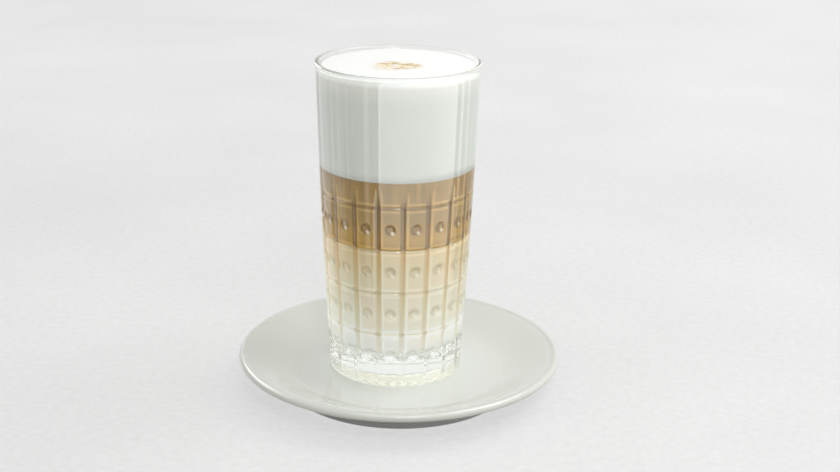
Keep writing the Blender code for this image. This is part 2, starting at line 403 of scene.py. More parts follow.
def glass_rings(glass):
    """Rings from the floor inside, up and over the lip, and down the pressed wall."""
    neck = GLASS_HEIGHT - LIP_BEAD - LIP_NECK
    bead_x = LIP_RADIUS - LIP_BEAD
    rings = [FLOOR_THICKNESS]
    rings.extend(hollow_floor(glass, 0.0, 10))
    for height in (*PLAIN_WALL_HEIGHTS_INSIDE, neck - 0.004, neck):
        rings.append((inner_radius(glass, height), height))
    rings.append((inner_radius(glass, neck + 0.002) + 0.0001, neck + 0.002))
    rings.extend(arc(bead_x, GLASS_HEIGHT - LIP_BEAD, LIP_BEAD, 180.0, -35.0, 16))
    rings.append((outer_radius(glass, neck + 0.0015) + 0.00012, neck + 0.0015))
    for height in (neck, neck - 0.004, *PLAIN_WALL_HEIGHTS_OUTSIDE):
        rings.append((outer_radius(glass, height), height))
    top_line = glass.bottom_line + glass.rows * glass.row_pitch
    point_top = top_line + GROOVE_POINT + GROOVE_RUN_OUT
    heights = [point_top + (top_line - point_top) * index / 16.0 for index in range(16)]
    for row in range(glass.rows, 0, -1):
        for index in range(HEIGHTS_PER_ROW):
            share = spread(index / HEIGHTS_PER_ROW, *ROW_CROWDING)
            heights.append(glass.bottom_line + (row - share) * glass.row_pitch)
    foot_top = FOOT_FILLET + 0.0002
    for index in range(15):
        heights.append(glass.bottom_line + (foot_top - glass.bottom_line) * index / 14.0)
    full_flare = FOOT_RADIUS - outer_radius(glass, foot_top)
    for height in heights:
        flare = full_flare * smooth_step(1.0 - (height - foot_top) / FOOT_FLARE_HEIGHT)

        def radius_at(angle, height=height, flare=flare):
            return outer_radius(glass, height) + flare - relief_depth(glass, angle, height)
        rings.append((radius_at, height))
    rings.extend(arc(FOOT_RADIUS - FOOT_FILLET, FOOT_FILLET, FOOT_FILLET, 0.0, -90.0, 6))
    rings.append((PUNT_RADIUS + 0.001, 0.0))
    for index in range(6):
        angle = math.radians(90.0 * index / 6.0)
        rings.append((PUNT_RADIUS * math.cos(angle), PUNT_DEPTH * math.sin(angle)))
    rings.append(PUNT_DEPTH)
    return rings


def column_angles(glass):
    """Angles of the points round the glass, close together where the relief bends."""
    pitch = math.tau / glass.columns
    angles = []
    for column in range(glass.columns):
        for index in range(ANGLES_PER_COLUMN):
            share = spread(index / ANGLES_PER_COLUMN, *COLUMN_CROWDING)
            angles.append((column + share) * pitch)
    return angles


class ShaderGraph:
    """Adds and links nodes in one node tree."""

    def __init__(self, tree):
        self.tree = tree

    def add(self, kind, **values):
        node = self.tree.nodes.new(kind)
        for name, value in values.items():
            setattr(node, name, value)
        return node

    def link(self, source, target):
        self.tree.links.new(source, target)

    def math(self, operation, first, second=None, third=None):
        node = self.add("ShaderNodeMath", operation=operation)
        for socket, value in zip(node.inputs, (first, second, third)):
            self.feed(socket, value)
        return node.outputs[0]

    def feed(self, socket, value):
        if value is None:
            return
        if isinstance(value, bpy.types.NodeSocket):
            self.link(value, socket)
        else:
            socket.default_value = value

    def ramp(self, value, stops):
        node = self.add("ShaderNodeValToRGB")
        elements = node.color_ramp.elements
        while len(elements) < len(stops):
            elements.new(0.5)
        for element, (position, color) in zip(elements, stops):
            element.position = position
            element.color = (*color, 1.0)
        self.link(value, node.inputs[0])
        return node.outputs[0]

    def mix_color(self, factor, first, second, blend_type="MIX"):
        node = self.add("ShaderNodeMix", data_type="RGBA", blend_type=blend_type)
        self.feed(node.inputs[0], factor)
        self.feed(node.inputs[6], first)
        self.feed(node.inputs[7], second)
        return node.outputs[2]

    def map_range(self, value, low, high, to_low=0.0, to_high=1.0, smooth=False):
        node = self.add("ShaderNodeMapRange")
        if smooth:
            node.interpolation_type = "SMOOTHSTEP"
        self.feed(node.inputs[0], value)
        for socket, number in zip(list(node.inputs)[1:5], (low, high, to_low, to_high)):
            self.feed(socket, number)
        return node.outputs[0]

    def band(self, distance, limits):
        """Rises smoothly from nothing at the first distance to full at the second."""
        return self.map_range(distance, *limits, smooth=True)

    def off(self, value, middle):
        """How far the value is from the middle, to either side."""
        return self.math("ABSOLUTE", self.math("SUBTRACT", value, middle))

    def wrap(self, value):
        """Steps of one, each counted from -0.5 to 0.5."""
        return self.math("WRAP", value, 0.5, -0.5)

    def product(self, first, *others):
        for other in others:
            first = self.math("MULTIPLY", first, other)
        return first

    def object_place(self):
        """The place on the piece itself, which moves and turns with it."""
        return self.add("ShaderNodeTexCoord").outputs["Object"]

    def axes(self, place):
        split = self.add("ShaderNodeSeparateXYZ")
        self.link(place, split.inputs[0])
        return split.outputs

    def stretched(self, place, scale, turn=0.0):
        node = self.add("ShaderNodeMapping")
        node.inputs["Scale"].default_value = scale
        node.inputs["Rotation"].default_value = (0.0, 0.0, turn)
        self.link(place, node.inputs["Vector"])
        return node.outputs[0]

    def noise(self, place, scale, detail, distortion=0.0):
        node = self.add("ShaderNodeTexNoise")
        self.link(place, node.inputs["Vector"])
        self.feed(node.inputs["Scale"], scale)
        node.inputs["Detail"].default_value = detail
        node.inputs["Distortion"].default_value = distortion
        return node.outputs[0]

    def bump(self, height, strength, distance):
        node = self.add("ShaderNodeBump")
        node.inputs["Strength"].default_value = strength
        node.inputs["Distance"].default_value = distance
        self.link(height, node.inputs["Height"])
        return node.outputs[0]


def new_material(name):
    material = bpy.data.materials.new(name)
    material.use_nodes = True
    graph = ShaderGraph(material.node_tree)
    shader = material.node_tree.nodes["Principled BSDF"]
    return material, graph, shader


def new_group(name, inputs, outputs):
    """A shader node group with named sockets: (name, socket type, default)."""
    tree = bpy.data.node_groups.new(name, "ShaderNodeTree")
    for socket_name, kind, default in inputs:
        socket = tree.interface.new_socket(socket_name, in_out="INPUT", socket_type=kind)
        socket.default_value = default
    for socket_name, kind in outputs:
        tree.interface.new_socket(socket_name, in_out="OUTPUT", socket_type=kind)
    graph = ShaderGraph(tree)
    return graph, graph.add("NodeGroupInput"), graph.add("NodeGroupOutput")


def place_group(graph, name, **values):
    """A node of the group; an underscore stands for the space in a socket's name."""
    node = graph.add("ShaderNodeGroup")
    node.node_tree = bpy.data.node_groups[name]
    for socket_name, value in values.items():
        graph.feed(node.inputs[socket_name.replace("_", " ")], value)
    return node


def plane_distance(graph, first, second):
    """The length of the line from the origin to (first, second)."""
    squares = graph.math("ADD", graph.math("POWER", first, 2.0), graph.math("POWER", second, 2.0))
    return graph.math("POWER", squares, 0.5)


# Painted shade and painted highlights on the drink behind the marks of the pressed wall, in metres.
# Each band gives the distance at which a mark starts to show and the distance at which it shows in
# full.
SHADE_TOP = 0.0975
SHADE_SINK = 0.0007
GROOVE_BAND = (0.00165, 0.00130)
GROOVE_TIP = 0.004
GROOVE_NARROWING = 0.42
GROOVE_FADE = 0.008
GROOVE_GLEAM = 0.0021
GROOVE_GLEAM_BAND = (0.00050, 0.00025)
LINE_BAND = (0.00105, 0.00085)
LINE_GLEAM = 0.0017
LINE_GLEAM_BAND = (0.0008, 0.0003)
DISH_RING = 0.0021
DISH_RING_BAND = (0.0011, 0.0003)
DISH_MIDDLE_BAND = (0.0021, 0.0015)
DISH_MIDDLE_SHARE = 0.5
SPOT_PLACE = (0.0011, -0.0017)
SPOT_BAND = (0.0013, 0.0005)
SPOT_SHARES = (0.35, 1.0)
# The painted light spot in each dish: its strength and its colour.
LIGHT_SPOT_STRENGTH = 0.75
LIGHT_SPOT_COLOR = (0.95, 0.90, 0.78, 1.0)


def painted_relief_light(graph, color, marks, softness):
    """The drink's colour with painted shade and painted highlights behind the pressed wall, from a
    multiplier for each kind of mark, and painted light spots in the dishes.
    """
    shade = place_group(graph, "pressed_shade", Softness=softness)
    for mark, tint in marks.items():
        tinted = graph.mix_color(1.0, color, tint, "MULTIPLY")
        color = graph.mix_color(shade.outputs[mark], color, tinted)
    light_spots = graph.math("MULTIPLY", shade.outputs["Light_Spots"], LIGHT_SPOT_STRENGTH)
    return graph.mix_color(light_spots, color, LIGHT_SPOT_COLOR)


def build_pressed_shade_group(glass):
    """Painted shade and painted highlights on the drink behind the grooves, the lines and the dishes of
    the wall, where the relief bends light away and gathers it.

    Steep flanks bend the view apart, so each band is drawn wider than it looks.
    The drink lies behind the wall, so each level is seen a little below its own.
    """
    graph, given, out = new_group(
        "pressed_shade",
        [("Top", "NodeSocketFloat", SHADE_TOP), ("Sink", "NodeSocketFloat", SHADE_SINK),
         ("Softness", "NodeSocketFloat", 0.0)],
        [(name, "NodeSocketFloat") for name in ("Groove_Shade", "Line_Shade", "Dimple_Shade", "Painted_Gleam", "Light_Spots")])
    top = given.outputs["Top"]
    softness = given.outputs["Softness"]
    x, y, z = graph.axes(graph.object_place())
    height = graph.math("ADD", z, given.outputs["Sink"])
    pitch = math.tau / glass.columns
    column = graph.math("DIVIDE", graph.math("ARCTAN2", y, x), pitch)
    phase = graph.wrap(column)
    reach = graph.math("MULTIPLY", plane_distance(graph, x, y), pitch)
    across = graph.math("MULTIPLY", phase, reach)

    # Painted shade behind each groove, narrowing near the top and fading out towards it.
    past_tip = graph.math("SUBTRACT", height, graph.math("SUBTRACT", top, GROOVE_TIP))
    narrow = graph.math("MULTIPLY", graph.math("MAXIMUM", past_tip, 0.0), GROOVE_NARROWING)
    from_groove = graph.math("ADD", graph.math("ABSOLUTE", across), narrow)
    groove = graph.band(from_groove, (
        graph.math("ADD", softness, GROOVE_BAND[0]), graph.math("SUBTRACT", GROOVE_BAND[1], softness)))
    fade = graph.map_range(height, top, graph.math("SUBTRACT", top, GROOVE_FADE))
    graph.link(graph.math("MULTIPLY", groove, fade), out.inputs["Groove_Shade"])
    # Painted highlight beside each groove.
    edge_gleam = graph.band(graph.off(across, GROOVE_GLEAM), GROOVE_GLEAM_BAND)
    edge_gleam = graph.math("MULTIPLY", edge_gleam, graph.math("LESS_THAN", height, top))

    # Painted shade along each level line.
    level = graph.math("DIVIDE", graph.math("SUBTRACT", height, glass.bottom_line), glass.row_pitch)
    from_line = graph.math("ABSOLUTE", graph.math("MULTIPLY", graph.wrap(level), glass.row_pitch))
    in_rows = graph.math("LESS_THAN", level, glass.rows + 0.3)
    line = graph.band(from_line, LINE_BAND)
    graph.link(graph.math("MULTIPLY", line, in_rows), out.inputs["Line_Shade"])
    # Painted highlight a little off each line, away from the grooves.
    line_gleam = graph.band(graph.off(from_line, LINE_GLEAM), LINE_GLEAM_BAND)
    line_gleam = graph.product(line_gleam, graph.math("SUBTRACT", 1.0, groove), in_rows)
    graph.link(graph.math("MAXIMUM", edge_gleam, line_gleam), out.inputs["Painted_Gleam"])

    # Painted shade in a ring and in the middle of each dish, with a painted light spot off its middle.
    in_cells = graph.math("LESS_THAN", level, float(glass.rows))
    beside = graph.math("MULTIPLY", graph.wrap(graph.math("ADD", phase, 0.5)), reach)
    above = graph.math("MULTIPLY", graph.wrap(graph.math("ADD", level, 0.5)), glass.row_pitch)
    distance = plane_distance(graph, beside, above)
    ring = graph.band(graph.off(distance, DISH_RING), DISH_RING_BAND)
    middle = graph.product(graph.band(distance, DISH_MIDDLE_BAND), DISH_MIDDLE_SHARE)
    spot_beside = graph.math("SUBTRACT", beside, SPOT_PLACE[0])
    spot_above = graph.math("SUBTRACT", above, SPOT_PLACE[1])
    light_spot = graph.band(plane_distance(graph, spot_beside, spot_above), SPOT_BAND)
    dish = graph.math("MAXIMUM", ring, middle)
    dish = graph.product(dish, graph.math("SUBTRACT", 1.0, light_spot), in_cells)
    graph.link(dish, out.inputs["Dimple_Shade"])
    # The painted light spot's strength changes at random from cell to cell.
    cell = graph.add("ShaderNodeCombineXYZ")
    graph.link(graph.math("FLOOR", column), cell.inputs[0])
    graph.link(graph.math("FLOOR", level), cell.inputs[1])
    chance = graph.add("ShaderNodeTexWhiteNoise")
    graph.link(cell.outputs[0], chance.inputs["Vector"])
    share = graph.map_range(chance.outputs["Value"], 0.0, 1.0, *SPOT_SHARES)
    graph.link(graph.product(light_spot, in_cells, share), out.inputs["Light_Spots"])


def build_fine_grain_group():
    """Fine bubbles, mottling and upright streaks, used by the foam, the drink and the saucer."""
    graph, given, out = new_group(
        "fine_grain",
        [("Bubble Scale", "NodeSocketFloat", 900.0), ("Cloud Scale", "NodeSocketFloat", 60.0)],
        [(name, "NodeSocketFloat") for name in ("Bubbles", "Clouds", "Streaks")])
    place = graph.object_place()
    streaks = graph.noise(graph.stretched(place, (520.0, 520.0, 18.0)), 1.0, 2.0)
    graph.link(streaks, out.inputs["Streaks"])
    cells = graph.add("ShaderNodeTexVoronoi", feature="SMOOTH_F1")
    graph.link(place, cells.inputs["Vector"])
    graph.link(given.outputs["Bubble Scale"], cells.inputs["Scale"])
    graph.link(graph.map_range(cells.outputs["Distance"], 0.0, 0.7), out.inputs["Bubbles"])
    graph.link(graph.noise(place, given.outputs["Cloud Scale"], 4.0), out.inputs["Clouds"])


def build_glass_material(tint):
    """Clear soda-lime glass that lets the lamps reach the drink inside it."""
    material, graph, shader = new_material("pressed_clear_glass")
    shader.inputs["Base Color"].default_value = (*tint, 1.0)
    shader.inputs["Roughness"].default_value = 0.0
    shader.inputs["IOR"].default_value = 1.5
    shader.inputs["Transmission Weight"].default_value = 1.0
    lamp_way = graph.add("ShaderNodeBsdfTransparent")
    lamp_way.inputs["Color"].default_value = (0.95, 0.96, 0.95, 1.0)
    path = graph.add("ShaderNodeLightPath")
    mix = graph.add("ShaderNodeMixShader")
    soft_light = graph.math("MAXIMUM", path.outputs["Is Shadow Ray"], path.outputs["Is Diffuse Ray"])
    graph.link(soft_light, mix.inputs[0])
    graph.link(shader.outputs[0], mix.inputs[1])
    graph.link(lamp_way.outputs[0], mix.inputs[2])
    graph.link(mix.outputs[0], material.node_tree.nodes["Material Output"].inputs["Surface"])
    return material


# Painted shade and painted highlights: the coffee's and the milk's colours are multiplied by these
# behind the pressed marks, darker behind grooves, dishes and lines and lighter in the gleam.
COFFEE_TOP_SHARES = (0.90, 0.87, 0.82)
COFFEE_RELIEF_SHADING = {
    "Groove_Shade": (0.56, 0.48, 0.33, 1.0),
    "Dimple_Shade": (0.55, 0.48, 0.38, 1.0),
    "Line_Shade": (0.80, 0.75, 0.66, 1.0),
    "Painted_Gleam": (1.35, 1.40, 1.48, 1.0),
}
MILK_RELIEF_SHADING = {
    "Dimple_Shade": (0.84, 0.81, 0.75, 1.0),
    "Line_Shade": (0.84, 0.81, 0.76, 1.0),
    "Painted_Gleam": (1.10, 1.13, 1.20, 1.0),
}
# Painted shade behind the grooves in the milk, browner higher up.
MILK_GROOVE_SHADE = (
    (0.1, (0.91, 0.89, 0.82)), (0.3, (0.87, 0.84, 0.74)),
    (0.6, (0.87, 0.79, 0.60)), (0.95, (0.84, 0.69, 0.44)))
MILK_GROOVE_SOFTNESS = 0.0004
# Painted glow in the milk: its strength at the floor and low on the side, and the height at which the
# side glow ends.
MILK_FLOOR_GLOW = 0.50
MILK_SIDE_GLOW = 0.18
MILK_SIDE_GLOW_TOP = 0.045


def build_coffee_material(drink):
    """Milky coffee, with painted shade a little darker behind each groove of the glass, and painted
    highlights and light spots.
    """
    material, graph, shader = new_material("milky_coffee")
    height = graph.axes(graph.object_place())[2]
    level = graph.map_range(height, COFFEE_LOW.z - GLASS_FOOT, COFFEE_HIGH.z - GLASS_FOOT)
    darker = [value * share for value, share in zip(drink.coffee, COFFEE_TOP_SHARES)]
    color = graph.ramp(level, [
        (0.0, drink.coffee_low), (0.15, drink.coffee_low), (0.45, drink.coffee), (0.75, drink.coffee),
        (0.95, darker)])
    grain = place_group(graph, "fine_grain", Bubble_Scale=1400.0, Cloud_Scale=90.0)
    clouds = graph.map_range(grain.outputs["Clouds"], 0.3, 0.7, 0.95, 1.05)
    color = graph.mix_color(1.0, color, clouds, "MULTIPLY")
    streaks = graph.map_range(grain.outputs["Streaks"], 0.35, 0.65, 0.86, 1.14)
    streaked = graph.mix_color(1.0, color, streaks, "MULTIPLY")
    color = graph.mix_color(graph.map_range(level, 0.3, 0.9, 0.25, 1.0), color, streaked)
    color = painted_relief_light(graph, color, COFFEE_RELIEF_SHADING, 0.0)
    graph.link(color, shader.inputs["Base Color"])
    shader.inputs["Roughness"].default_value = 0.5
    shader.inputs["Specular IOR Level"].default_value = 0.1
    return material


def painted_milk_glow(graph, height):
    """Painted glow low in the milk, at its floor and up its sides, standing in for light that comes
    down through the milk and leaves it at the bottom of the glass.
    """
    floor = graph.map_range(
        height, FLOOR_THICKNESS + 0.0012, FLOOR_THICKNESS + 0.0004, 0.0, MILK_FLOOR_GLOW)
    side = graph.map_range(height, MILK_SIDE_GLOW_TOP, FLOOR_THICKNESS, 0.0, MILK_SIDE_GLOW)
    return graph.math("MAXIMUM", floor, side)


def build_milk_material(drink):
    """Milk tinted by the coffee above it, paler towards the bottom, with painted shade and highlights
    behind the pressed wall and a painted glow low down.
    """
    material, graph, shader = new_material("tinted_milk")
    height = graph.axes(graph.object_place())[2]
    grain = place_group(graph, "fine_grain", Bubble_Scale=1400.0, Cloud_Scale=70.0)
    wander = graph.map_range(grain.outputs["Clouds"], 0.3, 0.7, -0.002, 0.002)
    level = graph.map_range(
        graph.math("ADD", height, wander), MILK_LOW.z - GLASS_FOOT, MILK_HIGH.z - GLASS_FOOT)
    # The bluish white at the very bottom is partly the milk's own paleness and partly painted light
    # that brightens the milk's floor.
    color = graph.ramp(level, [
        (0.0, (0.92, 0.95, 0.98)), (0.12, (0.94, 0.92, 0.90)), (0.35, drink.milk),
        (0.65, (0.88, 0.79, 0.61)), (0.95, drink.blend)])
    tone = graph.ramp(grain.outputs["Clouds"], [(0.35, (1.0, 0.95, 0.89)), (0.65, (0.97, 1.0, 1.0))])
    color = graph.mix_color(1.0, color, tone, "MULTIPLY")
    marks = {"Groove_Shade": graph.ramp(level, MILK_GROOVE_SHADE), **MILK_RELIEF_SHADING}
    color = painted_relief_light(graph, color, marks, MILK_GROOVE_SOFTNESS)
    graph.link(painted_milk_glow(graph, height), shader.inputs["Emission Strength"])
    graph.link(color, shader.inputs["Emission Color"])
    graph.link(color, shader.inputs["Base Color"])
    shader.inputs["Roughness"].default_value = 0.5
    shader.inputs["Specular IOR Level"].default_value = 0.1
    return material


# The espresso mark: its flattening across, its ragged edge, and the stretch of its streaks.
MARK_FLATTENING = 1.4
MARK_RAGGEDNESS = 0.0030
MARK_FADE = (1.25, 0.7)
MARK_STREAKS = (150.0, 360.0, 110.0)
MARK_TURN = 0.15
# Painted glow that brightens the top of the foam.
FOAM_TOP_PAINTED_GLOW = 0.16


def build_foam_material(drink):
    """Dense white foam with fine bubbles and the espresso mark on top, with painted shade on its side
    against the glass and a painted glow on top.
    """
    material, graph, shader = new_material("milk_foam_white")
    place = graph.object_place()
    x, y, height = graph.axes(place)
    top = FOAM_HIGH.z - GLASS_FOOT
    grain = place_group(graph, "fine_grain", Bubble_Scale=1100.0, Cloud_Scale=130.0)
    off_x = graph.math("SUBTRACT", x, drink.mark_place[0])
    off_y = graph.math("SUBTRACT", y, drink.mark_place[1])
    distance = plane_distance(graph, off_x, graph.math("MULTIPLY", off_y, MARK_FLATTENING))
    ragged = graph.map_range(grain.outputs["Clouds"], 0.25, 0.75, -MARK_RAGGEDNESS, MARK_RAGGEDNESS)
    inside = graph.band(
        graph.math("ADD", distance, ragged), [drink.mark_radius * share for share in MARK_FADE])
    on_top = graph.map_range(height, top - 0.004, top - 0.002)
    streaks = graph.noise(graph.stretched(place, MARK_STREAKS, MARK_TURN), 1.0, 4.0, 0.8)
    strength = graph.map_range(streaks, 0.38, 0.52, 0.20, 1.0)
    gold = graph.ramp(streaks, [
        (0.38, (0.90, 0.74, 0.58)), (0.43, (0.82, 0.58, 0.34)), (0.475, (0.92, 0.80, 0.46)),
        (0.52, (0.92, 0.78, 0.56)), (0.56, (0.30, 0.20, 0.10)), (0.60, drink.mark)])
    # Painted shade: the foam goes from its shaded side colour to its lit top colour near the top.
    side = graph.map_range(height, top - 0.012, top - 0.002)
    white = graph.mix_color(side, (*drink.shaded_foam_side, 1.0), (*drink.foam, 1.0))
    streaky = graph.map_range(grain.outputs["Streaks"], 0.35, 0.65, 0.985, 1.015)
    streaked = graph.mix_color(1.0, white, streaky, "MULTIPLY")
    white = graph.mix_color(graph.math("SUBTRACT", 1.0, on_top), white, streaked)
    color = graph.mix_color(graph.product(inside, on_top, strength), white, gold)
    # Painted glow: the top of the foam gives off light in its own colour.
    graph.link(color, shader.inputs["Emission Color"])
    graph.link(graph.math("MULTIPLY", on_top, FOAM_TOP_PAINTED_GLOW), shader.inputs["Emission Strength"])
    graph.link(color, shader.inputs["Base Color"])
    shader.inputs["Roughness"].default_value = 0.55
    shader.inputs["Specular IOR Level"].default_value = 0.15
    graph.link(graph.bump(grain.outputs["Bubbles"], 0.12, 0.0003), shader.inputs["Normal"])
    return material


def build_porcelain_material(saucer):
    """White glazed porcelain, with the glaze barely uneven."""
    material, graph, shader = new_material("white_glazed_porcelain")
    grain = place_group(graph, "fine_grain", Bubble_Scale=500.0, Cloud_Scale=35.0)
    clouds = grain.outputs["Clouds"]
    duller = [value * 0.985 for value in saucer.glaze]
    color = graph.mix_color(clouds, (*duller, 1.0), (*saucer.glaze, 1.0))
    graph.link(color, shader.inputs["Base Color"])
    graph.link(graph.map_range(clouds, 0.3, 0.7, 0.08, 0.14), shader.inputs["Roughness"])
    shader.inputs["Coat Weight"].default_value = 0.5
    shader.inputs["Coat Roughness"].default_value = 0.04
    graph.link(graph.bump(clouds, 0.05, 0.0005), shader.inputs["Normal"])
    return material


# Painted shade beneath the saucer: the light that the floor throws up dies away between these radii, to
# this dark colour.
UNDER_SAUCER = (0.110, 0.085)
UNDER_SAUCER_SHADED_BOUNCE = (0.08, 0.10, 0.095, 1.0)


def build_floor_material(studio):
    """Pale paper whose shadows stay faint to the eye, while it still lights the saucer from below. Its
    painted glow grows towards the back and to the right, and painted shade darkens the light it throws
    up beneath the saucer.
    """
    material, graph, shader = new_material("pale_floor")
    place = graph.object_place()
    x, y = graph.axes(place)[:2]
    value = graph.map_range(graph.noise(place, 260.0, 6.0), 0.3, 0.7, 0.97, 1.03)
    blotches = graph.map_range(graph.noise(place, 5.0, 3.0), 0.3, 0.7, 0.965, 1.03)
    specks = graph.add("ShaderNodeTexVoronoi")
    graph.link(place, specks.inputs["Vector"])
    specks.inputs["Scale"].default_value = 16.0
    speck = graph.map_range(specks.outputs["Distance"], 0.018, 0.010, 0.0, 0.4)
    value = graph.product(value, blotches, graph.math("SUBTRACT", 1.0, speck))
    color = graph.mix_color(1.0, (*studio.floor, 1.0), value, "MULTIPLY")
    graph.link(color, shader.inputs["Base Color"])
    graph.link(color, shader.inputs["Emission Color"])
    # Painted light: the floor's glow grows towards the back and to the right.
    farther = graph.map_range(y, 0.15, 0.75, studio.floor_glow, studio.floor_glow * 1.09)
    sideways = graph.map_range(x, -0.30, 0.45, 0.945, 1.03)
    graph.link(graph.math("MULTIPLY", farther, sideways), shader.inputs["Emission Strength"])
    shader.inputs["Roughness"].default_value = 0.9
    shader.inputs["Specular IOR Level"].default_value = 0.1
    bounce = graph.add("ShaderNodeBsdfDiffuse")
    # Painted shade: the light that the floor throws up turns dark beneath the saucer.
    saucer_shade = graph.map_range(plane_distance(graph, x, y), *UNDER_SAUCER)
    graph.link(graph.mix_color(saucer_shade, (*studio.floor_bounce, 1.0), UNDER_SAUCER_SHADED_BOUNCE),
               bounce.inputs["Color"])
    path = graph.add("ShaderNodeLightPath")
    mix = graph.add("ShaderNodeMixShader")
    graph.link(path.outputs["Is Diffuse Ray"], mix.inputs[0])
    graph.link(shader.outputs[0], mix.inputs[1])
    graph.link(bounce.outputs[0], mix.inputs[2])
    graph.link(mix.outputs[0], material.node_tree.nodes["Material Output"].inputs["Surface"])
    return material


# The cards stand round the glass and are seen only in its and the saucer's reflections.
# Each strip gives its two sides, in degrees round the glass from the front, and its brightness.
LOW_CARD_STRIPS = (
    (-125.0, -68.0, 0.22), (-104.0, -101.0, 0.4), (-90.0, -87.0, 0.5), (-79.0, -74.0, 0.4),
    (-64.0, -60.0, 0.2), (-39.5, -33.0, 0.45), (-21.5, -18.5, 1.5), (-20.0, 76.0, 1.0),
    (83.0, 88.0, 0.6), (98.0, 101.0, 0.35))
HIGH_CARD_STRIPS = ((-25.0, 85.0, 1.0),)
SIDE_CARD_STRIPS = ((-150.0, -85.0, 1.0),)
# The saucer's rim stands so near the low card that it would mirror it too strongly, so a
# card shows only to what is farther away than this.
CARD_REACH = (0.045, 0.058)


def build_card_material(name, strips, glow, edge, fade):
    """Bright strips round the glass, clear between them.

    edge is the softness of a strip's sides in degrees, and fade is the two
    heights between which the strips come up to their full brightness.
    """
    material, graph, shader = new_material(name)
    x, y, height = graph.axes(graph.object_place())
    turned = graph.math("DEGREES", graph.math("ARCTAN2", x, graph.math("MULTIPLY", y, -1.0)))
    mask = None
    for start, end, brightness in strips:
        rise = graph.map_range(turned, start - edge, start + edge, 0.0, brightness)
        fall = graph.map_range(turned, end - edge, end + edge, 1.0, 0.0)
        strip = graph.math("MULTIPLY", rise, fall)
        mask = strip if mask is None else graph.math("MAXIMUM", mask, strip)
    path = graph.add("ShaderNodeLightPath")
    far_enough = graph.map_range(path.outputs["Ray Length"], *CARD_REACH)
    light = graph.add("ShaderNodeEmission")
    strength = graph.product(mask, graph.map_range(height, *fade), far_enough, glow)
    graph.link(strength, light.inputs["Strength"])
    clear = graph.add("ShaderNodeBsdfTransparent")
    both = graph.add("ShaderNodeAddShader")
    graph.link(clear.outputs[0], both.inputs[0])
    graph.link(light.outputs[0], both.inputs[1])
    material.node_tree.nodes.remove(shader)
    graph.link(both.outputs[0], material.node_tree.nodes["Material Output"].inputs["Surface"])
    return material


def smooth_wall(glass, top, bottom, reach, count):
    """Rings down the side of a layer that reaches just into the wall."""
    rings = []
    for index in range(count + 1):
        height = top + (bottom - top) * index / count
        rings.append((inner_radius(glass, height) + reach, height))
    return rings


DRINK_SIDES = 180
FOAM_TOP_RINGS = 40
FOAM_EDGE_DEPTH = 0.0020
SAUCER_SIDES = 240
SAUCER_SLOPE_RINGS = 24
SAUCER_FOOT_FILLET = 0.0008


class LATTE_OT_glass(bpy.types.Operator):
    """Build the pressed glass"""

    bl_idname = "latte.glass"
    bl_label = "Build Glass"

    def execute(self, context):
        glass = context.scene.latte_glass
        rings = glass_rings(glass)
        mesh = ring_mesh("pressed_glass", rings, column_angles(glass))
        piece = new_piece(
            "pressed_glass", mesh, build_glass_material(glass.tint), GLASS_AXIS, "clear_glass", "glass")
        piece.rotation_euler.z = glass.grid_turn
        return {"FINISHED"}


class LATTE_OT_drink(bpy.types.Operator):
    """Build the milk, the coffee and the foam"""

    bl_idname = "latte.drink"
    bl_label = "Build Drink"

    def execute(self, context):
        glass = context.scene.latte_glass
        drink = context.scene.latte_drink
        build_pressed_shade_group(glass)
        build_fine_grain_group()
        self.build_milk(glass, drink)
        self.build_coffee(glass, drink)
        self.build_foam(glass, drink)
        return {"FINISHED"}

    def build_milk(self, glass, drink):
        top = COFFEE_LOW.z - GLASS_FOOT
        floor = hollow_floor(glass, drink.wall_reach, 10)
        rings = [top, (inner_radius(glass, top) * 0.5, top)]
        rings.extend(smooth_wall(glass, top, floor[-1][1], drink.wall_reach, 12)[:-1])
        rings.extend(reversed(floor))
        rings.append(FLOOR_THICKNESS - drink.wall_reach)
        mesh = ring_mesh("milk_fill", rings, even_angles(DRINK_SIDES))
        material = build_milk_material(drink)
        piece = new_piece("milk_fill", mesh, material, GLASS_AXIS, "milk", "milk_layer")
        piece.rotation_euler.z = glass.grid_turn

    def build_coffee(self, glass, drink):
        top = COFFEE_HIGH.z - GLASS_FOOT
        bottom = COFFEE_LOW.z - GLASS_FOOT
        rings = [top, (inner_radius(glass, top) * 0.5, top)]
        rings.extend(smooth_wall(glass, top, bottom, drink.wall_reach, 8))
        rings.append((inner_radius(glass, bottom) * 0.5, bottom))
        rings.append(bottom)
        mesh = ring_mesh("coffee_fill", rings, even_angles(DRINK_SIDES))
        material = build_coffee_material(drink)
        piece = new_piece("coffee_fill", mesh, material, GLASS_AXIS, "coffee", "coffee_layer")
        piece.rotation_euler.z = glass.grid_turn

    def build_foam(self, glass, drink):
        edge_height = GLASS_HEIGHT - FOAM_EDGE_DEPTH
        top = FOAM_HIGH.z - GLASS_FOOT
        bottom = COFFEE_HIGH.z - GLASS_FOOT
        edge = inner_radius(glass, edge_height) + drink.wall_reach
        rings = [top]
        for index in range(1, FOAM_TOP_RINGS):
            share = index / FOAM_TOP_RINGS
            rings.append((edge * share, top - (top - edge_height) * share * share))
        rings.extend(smooth_wall(glass, edge_height, bottom, drink.wall_reach, 12))
        rings.append((inner_radius(glass, bottom) * 0.5, bottom))
        rings.append(bottom)
        mesh = ring_mesh("foam_fill", rings, even_angles(DRINK_SIDES))
        new_piece("foam_fill", mesh, build_foam_material(drink), GLASS_AXIS, "foam", "milk_foam")


